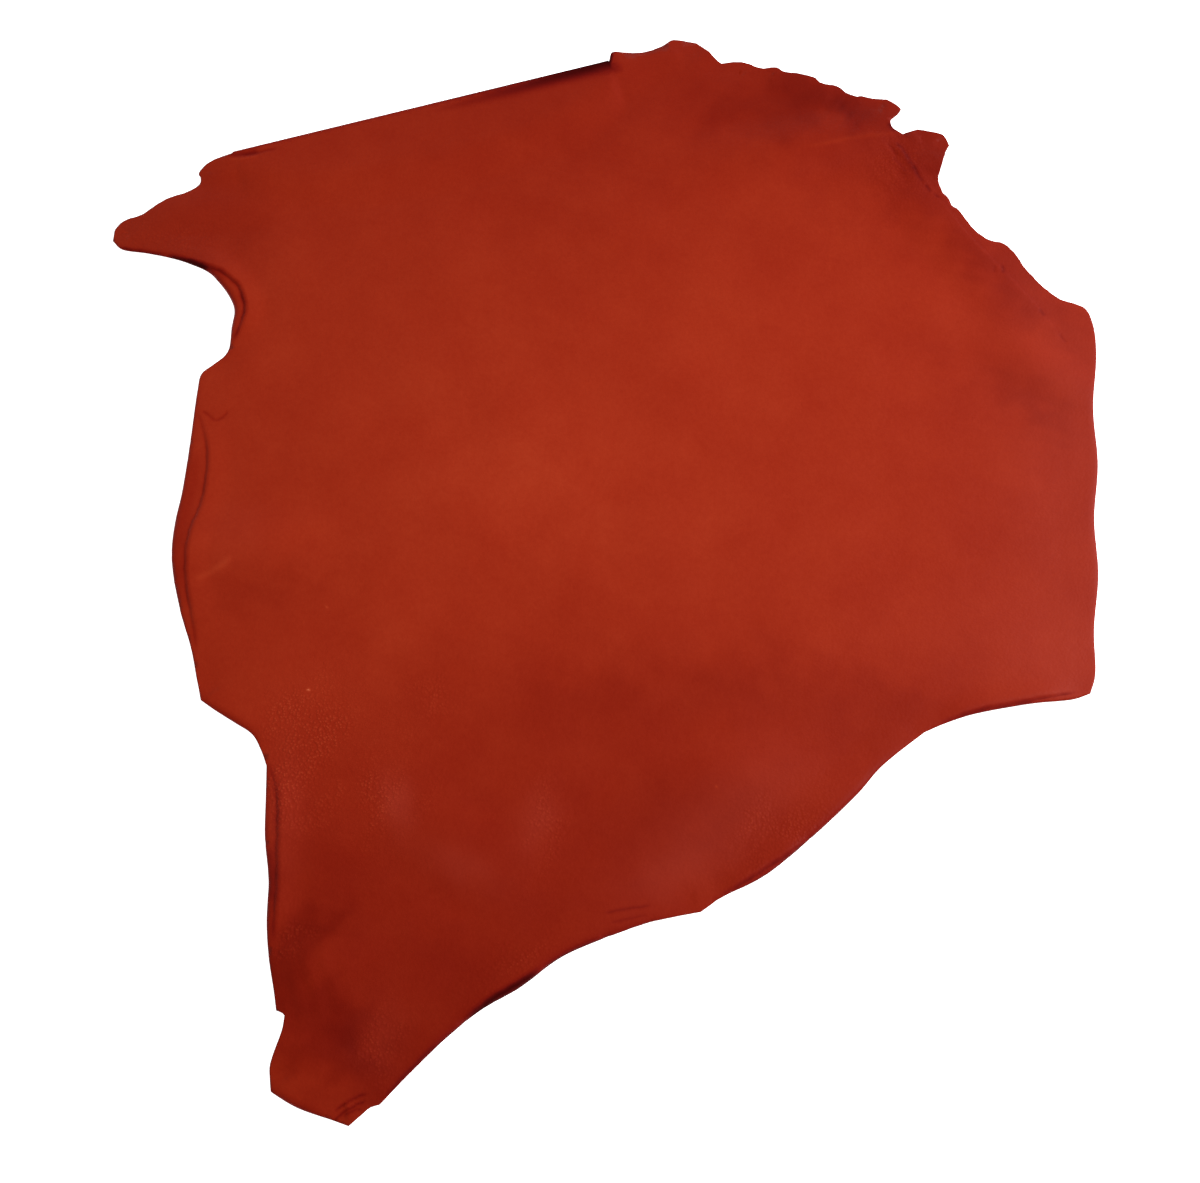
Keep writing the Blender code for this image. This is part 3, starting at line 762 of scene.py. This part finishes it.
# Each corner's normal, from the areas of the triangles round it.
def cornerNormals(points, faces):
    a, b, c = (points[faces[:, i]] for i in range(3))
    area = np.cross(b - a, c - a)
    normals = np.zeros_like(points)
    for i in range(3):
        for axis in range(3):
            normals[:, axis] += np.bincount(faces[:, i], area[:, axis], len(points))
    return normals / np.linalg.norm(normals, axis=1)[:, None]


# The skin as one closed mesh: the flesh side, the grain side one thickness off it along the
# normals, with its own fine relief, and a wall between them all round the cut edge.
def buildSkin(materials):
    outline, lifts, rolls = cutEdge()
    lines = creaseLines()
    flat, faces = flatSkin(outline, lines)
    print("flat skin:", len(flat), "corners,", len(faces), "triangles")
    apart, along = besideLine(flat, outline, True)
    apart = np.abs(apart)
    stepped, dark = stepRise(flat, lines)
    depth, shade = wrinkleDepth(flat, lines)
    edge = edgeRise(apart, along, lifts, rolls)
    height = ridgeRise(flat) + stepped + edge + swell(flat) * eased(apart / skin["swellStart"])
    flesh, turned = laid(flat, height)
    relief = np.where(turned, 0, (rippleHeight(flat) - depth) * eased(apart / skin["reliefStart"]))
    normals = cornerNormals(flesh, faces)
    grain = flesh + normals * (skin["leather"] + relief)[:, None]
    flesh[:, 2], grain[:, 2] = np.maximum(0, flesh[:, 2]), np.maximum(0, grain[:, 2])

    ends = np.concatenate([faces[:, [0, 1]], faces[:, [1, 2]], faces[:, [2, 0]]])
    _, index, count = np.unique(np.sort(ends, axis=1), axis=0, return_inverse=True, return_counts=True)
    open_ = ends[count[index.reshape(-1)] == 1]
    total = len(flat)
    wall = np.column_stack([open_[:, 0], open_[:, 1], open_[:, 1] + total, open_[:, 0] + total])
    allFaces = (faces + total).tolist() + faces[:, ::-1].tolist() + wall.tolist()
    mesh = bpy.data.meshes.new("skin")
    mesh.from_pydata(np.vstack([flesh, grain]).tolist(), [], allFaces)
    mesh.update()
    for material in materials:
        mesh.materials.append(material)
    kinds = np.repeat([0, 1, 2], [len(faces), len(faces), len(wall)])
    mesh.polygons.foreach_set("material_index", kinds.astype(np.int32))
    mesh.shade_smooth()

    rolled = np.interp(along * len(rolls), np.arange(len(rolls)), rolls / rolls.max())
    values = {
        # The tone patches: the dye's unevenness, with painted light and shade.
        "dyeAndShade": patchSum(flat, skin["dyeAndShade"], skin["warps"]),
        "pebble": np.clip(patchSum(flat, skin["pebble"], skin["warps"]), 0, 1),
        # Painted sheen, with the belly's scuffs.
        "sheenAndScuffs": patchSum(flat, skin["sheenAndScuffs"], skin["sheenAndScuffsWarps"]),
        # Painted shade at the steps' feet, beside the fold and in the wrinkles, with painted highlights on
        # some ridges and the scars' own marks.
        "crease": np.maximum(np.maximum(dark, foldDark(flat)), 0) + shade,
        # Painted shade along the edges that roll down.
        "rolledEdgeShade": np.exp(-apart / skin["rolledEdgeShadeReach"]) * rolled,
    }
    for name, value in values.items():
        layer = mesh.attributes.new(name, "FLOAT", "POINT")
        layer.data.foreach_set("value", np.concatenate([value, value]).astype(np.float32))
    piece = bpy.data.objects.new("sheepskin_leather", mesh)
    bpy.context.scene.collection.objects.link(piece)
    print("skin built:", len(allFaces), "faces, top at", round(float(grain[:, 2].max()) * 1000, 1), "mm")
    return piece


# One colour from its sRGB hex to linear.
def colour(hexText):
    parts = [int(hexText[i : i + 2], 16) / 255 for i in (1, 3, 5)]
    return (*(c / 12.92 if c <= 0.04045 else ((c + 0.055) / 1.055) ** 2.4 for c in parts), 1.0)


# Adds a node, sets its settings or its sockets' values, and links its sockets.
def add(tree, kind, settings=None, links=None):
    made = tree.nodes.new(kind)
    for name, value in (settings or {}).items():
        if isinstance(name, str) and hasattr(made, name):
            setattr(made, name, value)
        else:
            made.inputs[name].default_value = value
    for name, source in (links or {}).items():
        tree.links.new(source, made.inputs[name])
    return made


# Adds a material whose shader has these sockets the same all over, and gives it with its nodes.
def newMaterial(name, sockets):
    material = bpy.data.materials.new(name)
    material.use_nodes = True
    shader = material.node_tree.nodes["Principled BSDF"]
    for socket, value in sockets.items():
        shader.inputs[socket].default_value = value
    return material, material.node_tree, shader


# The value of one of the skin's own attributes.
def attribute(tree, name):
    return add(tree, "ShaderNodeAttribute", {"attribute_name": name}).outputs["Fac"]


# A noise over the object's own places: its scale is in waves per metre.
def noise(tree, place, scale, detail, roughness=0.5, distortion=0.0):
    settings = {"Scale": scale, "Detail": detail, "Roughness": roughness, "Distortion": distortion}
    return add(tree, "ShaderNodeTexNoise", settings, {"Vector": place}).outputs["Fac"]


# A source times a share, added to a number or to what another node gives.
def onTop(tree, base, source, share, clamp=False):
    settings, links = {"operation": "MULTIPLY_ADD", "use_clamp": clamp, 1: share}, {0: source}
    (settings if isinstance(base, float) else links)[2] = base
    return add(tree, "ShaderNodeMath", settings, links).outputs[0]


# A value brought from one range to another, and held at its ends.
def ranged(tree, value, start, end, low=0.0, high=1.0, kind="LINEAR"):
    settings = {"interpolation_type": kind, "From Min": start, "From Max": end, "To Min": low, "To Max": high}
    return add(tree, "ShaderNodeMapRange", settings, {"Value": value}).outputs[0]


# The bumps of a height, over other bumps where they are given.
def bumps(tree, height, strength, distance, under=None):
    links = {"Height": height} if under is None else {"Height": height, "Normal": under}
    return add(tree, "ShaderNodeBump", {"Strength": strength, "Distance": distance}, links).outputs[0]


# Noises are given as waves per metre, detail, roughness and distortion, and bumps as strength and
# distance.
grainLook = {
    "sockets": {"Specular IOR Level": 0.05},
    "dye": "#86210c",  # at its common density, 1
    "dyeAndShadeShare": 0.65,  # what one unit of the tone patches, dye and painted light and shade, takes off the density
    "paleShare": 0.64,  # and what it adds to the light sent back
    # How much the painted shade of the creases and the fold, and of the rolled edges, darkens the colour.
    "creaseShadeShare": 1.0,
    "rolledEdgeShadeShare": 0.5,
    "cloud": (14.0, 4.0, 0.55),  # the drum's uneven dye, over tens of millimetres
    "clouding": 0.16,
    "fleck": (260.0, 3.0, 0.6),  # and over a few millimetres
    "flecking": 0.1,
    # The paler pink of the painted sheen and of the scuffs in the finish.
    "sheenAndScuffs": "#c05241",
    "sheenAndScuffsShare": 0.075,
    "pebbleSize": 0.0024,  # real pebbles are about 1 mm, drawn coarser to show
    "pebbleSmooth": 0.6,
    "pebbleTop": (0.42, 0.16),  # how far from its middle a pebble's top starts, and is whole
    "highlightOnPebbles": 0.2,  # how much painted highlight the pebbles' tops get where they stand up
    "standing": (0.16, 0.75),  # the pebbles' relief all over, and what it gains where they stand up
    "pebbleHeight": 0.0006,
    "fine": (1000.0, 2.0),
    "fineBump": (0.3, 0.00012),
    "soft": (45.0, 3.0),
    "softBump": (0.35, 0.0009),
    "roughness": (0.42, 0.54),
    "creaseRoughness": 0.5,  # added where a crease is at its darkest, which the rolling never reached
}


# Drum-dyed grain side: the dyed, unpigmented outer face of the skin, lightly rolled. The colour is the
# dye raised to a density: darker and redder as it grows. The density holds the dye's own clouds and flecks,
# and also painted shade and painted highlights. The grain gives a dull satin.
def grainMaterial():
    look = grainLook
    material, tree, shader = newMaterial("drum-dyed grain side", look["sockets"])
    place = add(tree, "ShaderNodeTexCoord").outputs["Object"]
    cells = add(tree, "ShaderNodeTexVoronoi", {"feature": "SMOOTH_F1", "Scale": 1 / look["pebbleSize"],
                "Smoothness": look["pebbleSmooth"]}, {"Vector": place}).outputs["Distance"]
    tops = ranged(tree, cells, *look["pebbleTop"])
    dyeAndShade, crease, pebble = (attribute(tree, name) for name in ("dyeAndShade", "crease", "pebble"))
    # A painted highlight on the pebbles' tops, where they stand up.
    pebbleHighlight = add(tree, "ShaderNodeMath", {"operation": "MULTIPLY"}, {0: tops, 1: pebble}).outputs[0]
    density = 1 + 0.5 * (look["clouding"] + look["flecking"])
    # The density: the dye's clouds and flecks, painted highlights on the pebbles, the tone patches' dye and
    # painted light and shade, painted shade in the creases and by the fold, and painted shade along the
    # rolled edges.
    for source, share in (
        (noise(tree, place, *look["cloud"]), -look["clouding"]),
        (noise(tree, place, *look["fleck"]), -look["flecking"]),
        (pebbleHighlight, -look["highlightOnPebbles"]),
        (dyeAndShade, -look["dyeAndShadeShare"]),
        (crease, look["creaseShadeShare"]),
        (attribute(tree, "rolledEdgeShade"), look["rolledEdgeShadeShare"]),
    ):
        density = onTop(tree, density, source, share)
    dyed = add(tree, "ShaderNodeGamma", {"Color": colour(look["dye"])}, {"Gamma": density}).outputs[0]
    # The tone patches also scale the brightness as a whole: the dye's unevenness with their painted light and
    # shade.
    sentBack = onTop(tree, 1.0, dyeAndShade, look["paleShare"])
    seen = add(tree, "ShaderNodeVectorMath", {"operation": "SCALE"}, {0: dyed, "Scale": sentBack}).outputs[0]
    # Painted sheen and the scuffs in the finish, mixed in as a paler pink.
    share = onTop(tree, 0.0, attribute(tree, "sheenAndScuffs"), look["sheenAndScuffsShare"])
    withSheenAndScuffs = add(tree, "ShaderNodeMix", {"data_type": "RGBA", 7: colour(look["sheenAndScuffs"])}, {0: share, 6: seen})
    tree.links.new(withSheenAndScuffs.outputs[2], shader.inputs["Base Color"])

    soft = noise(tree, place, *look["soft"])
    softBumps = bumps(tree, soft, *look["softBump"])
    fineBumps = bumps(tree, noise(tree, place, *look["fine"]), *look["fineBump"], softBumps)
    base, more = look["standing"]
    pebbled = add(tree, "ShaderNodeBump", {"Distance": look["pebbleHeight"], "invert": True},
                  {"Strength": onTop(tree, base, pebble, more), "Height": cells, "Normal": fineBumps})
    tree.links.new(pebbled.outputs[0], shader.inputs["Normal"])

    rolled = ranged(tree, soft, 0.0, 1.0, *look["roughness"])
    rough = onTop(tree, rolled, crease, look["creaseRoughness"], clamp=True)
    tree.links.new(rough, shader.inputs["Roughness"])
    return material


# Suede flesh side: the shaved inner face, whose nap takes the dye paler and lies in soft
# strokes, matt with a bloom at low angles.
suedeLook = {
    "sockets": {"Roughness": 0.95, "Specular IOR Level": 0.15, "Sheen Weight": 0.35},
    "dark": "#7a2a18",
    "light": "#9c4a30",
    "fibre": (900.0, 3.0),
    "bump": (0.6, 0.0003),
    "strokes": (30.0, 5.0, 0.65, 0.6),
    "fibreShare": 0.5,
    "lighter": (0.5, 1.0),  # from where to where the strokes and the nap together turn it lighter
}

# Cut edge: the fibres between the two faces, knife cut, which drink the dye and look darker.
edgeLook = {
    "sockets": {"Roughness": 0.85, "Specular IOR Level": 0.05},
    "dark": "#3a0806",
    "light": "#6a1a10",
    "fibre": (700.0, 3.0),
    "bump": (0.5, 0.0002),
}


# Bare fibres, dyed unevenly between two colours, by themselves or together with their strokes.
def fibreMaterial(name, look):
    material, tree, shader = newMaterial(name, look["sockets"])
    place = add(tree, "ShaderNodeTexCoord").outputs["Object"]
    fibre = share = noise(tree, place, *look["fibre"])
    if "strokes" in look:
        both = onTop(tree, noise(tree, place, *look["strokes"]), fibre, look["fibreShare"])
        share = ranged(tree, both, *look["lighter"])
    ends = {"data_type": "RGBA", 6: colour(look["dark"]), 7: colour(look["light"])}
    tree.links.new(add(tree, "ShaderNodeMix", ends, {0: share}).outputs[2], shader.inputs["Base Color"])
    tree.links.new(bumps(tree, fibre, *look["bump"]), shader.inputs["Normal"])
    return material


studio = {
    "floorSide": 8.0,
    "floorDrop": 0.0004,  # keeps the floor just clear of the skin's underside
    "floorLook": {  # it glows, to lift its shadows to the even white of a studio sweep
        "Base Color": colour("#f4f4f4"),
        "Roughness": 0.9,
        "Specular IOR Level": 0.1,
        "Emission Color": (1.0, 1.0, 1.0, 1.0),
        "Emission Strength": 1.0,
    },
    "wallTop": 0.26,  # the sine of 15 degrees, up to which the room has the wall's light
    "ceilingFoot": 0.87,  # and of 60, from which it has the ceiling's
    "wallLight": 1.15,
    "ceilingLight": 0.24,  # dim, so that the grain side isn't washed out
    "keyPlace": (2.20, 0.40, 1.90),
    "keySide": 1.7,
    "keyPower": 128.0,
    "lookAt": (0.0029, -0.0868, 0.0),
    "cameraPlace": (0.0029, -0.6851, 1.3438),
    "lens": 50.0,
}


def aimed(thing, place, target):
    thing.location = place
    thing.rotation_euler = (Vector(target) - Vector(place)).to_track_quat("-Z", "Y").to_euler()


def buildStudio():
    scene = bpy.context.scene
    half = studio["floorSide"] / 2
    mesh = bpy.data.meshes.new("floor")
    around = ((-half, -half), (half, -half), (half, half), (-half, half))
    corners = [(x, y, -studio["floorDrop"]) for x, y in around]
    mesh.from_pydata(corners, [], [(0, 1, 2, 3)])
    mesh.materials.append(newMaterial("matt white floor", studio["floorLook"])[0])
    floor = bpy.data.objects.new("floor", mesh)
    scene.collection.objects.link(floor)

    world = bpy.data.worlds.new("soft room")
    world.use_nodes = True
    tree = world.node_tree
    tree.nodes["Background"].inputs["Color"].default_value = (1.0, 1.0, 1.0, 1.0)
    way = add(tree, "ShaderNodeTexCoord").outputs["Generated"]
    height = add(tree, "ShaderNodeSeparateXYZ", links={"Vector": way}).outputs["Z"]
    levels = (studio[name] for name in ("wallTop", "ceilingFoot", "wallLight", "ceilingLight"))
    light = ranged(tree, height, *levels, kind="SMOOTHSTEP")
    tree.links.new(light, tree.nodes["Background"].inputs["Strength"])
    scene.world = world

    lamp = bpy.data.lights.new("key", "AREA")
    lamp.shape = "SQUARE"
    lamp.size = studio["keySide"]
    lamp.energy = studio["keyPower"]
    key = bpy.data.objects.new("key", lamp)
    scene.collection.objects.link(key)
    aimed(key, studio["keyPlace"], (0.0, 0.0, 0.0))

    lens = bpy.data.cameras.new("camera")
    lens.lens = studio["lens"]
    lens.sensor_width = 36.0
    camera = bpy.data.objects.new("camera", lens)
    scene.collection.objects.link(camera)
    aimed(camera, studio["cameraPlace"], studio["lookAt"])
    scene.camera = camera
    scene.view_settings.view_transform = "Standard"
    print("studio built")


buildStudio()
napped, cut = fibreMaterial("suede flesh side", suedeLook), fibreMaterial("cut edge", edgeLook)
piece = buildSkin((grainMaterial(), napped, cut))
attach(piece, "root")
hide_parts("sheepskin")
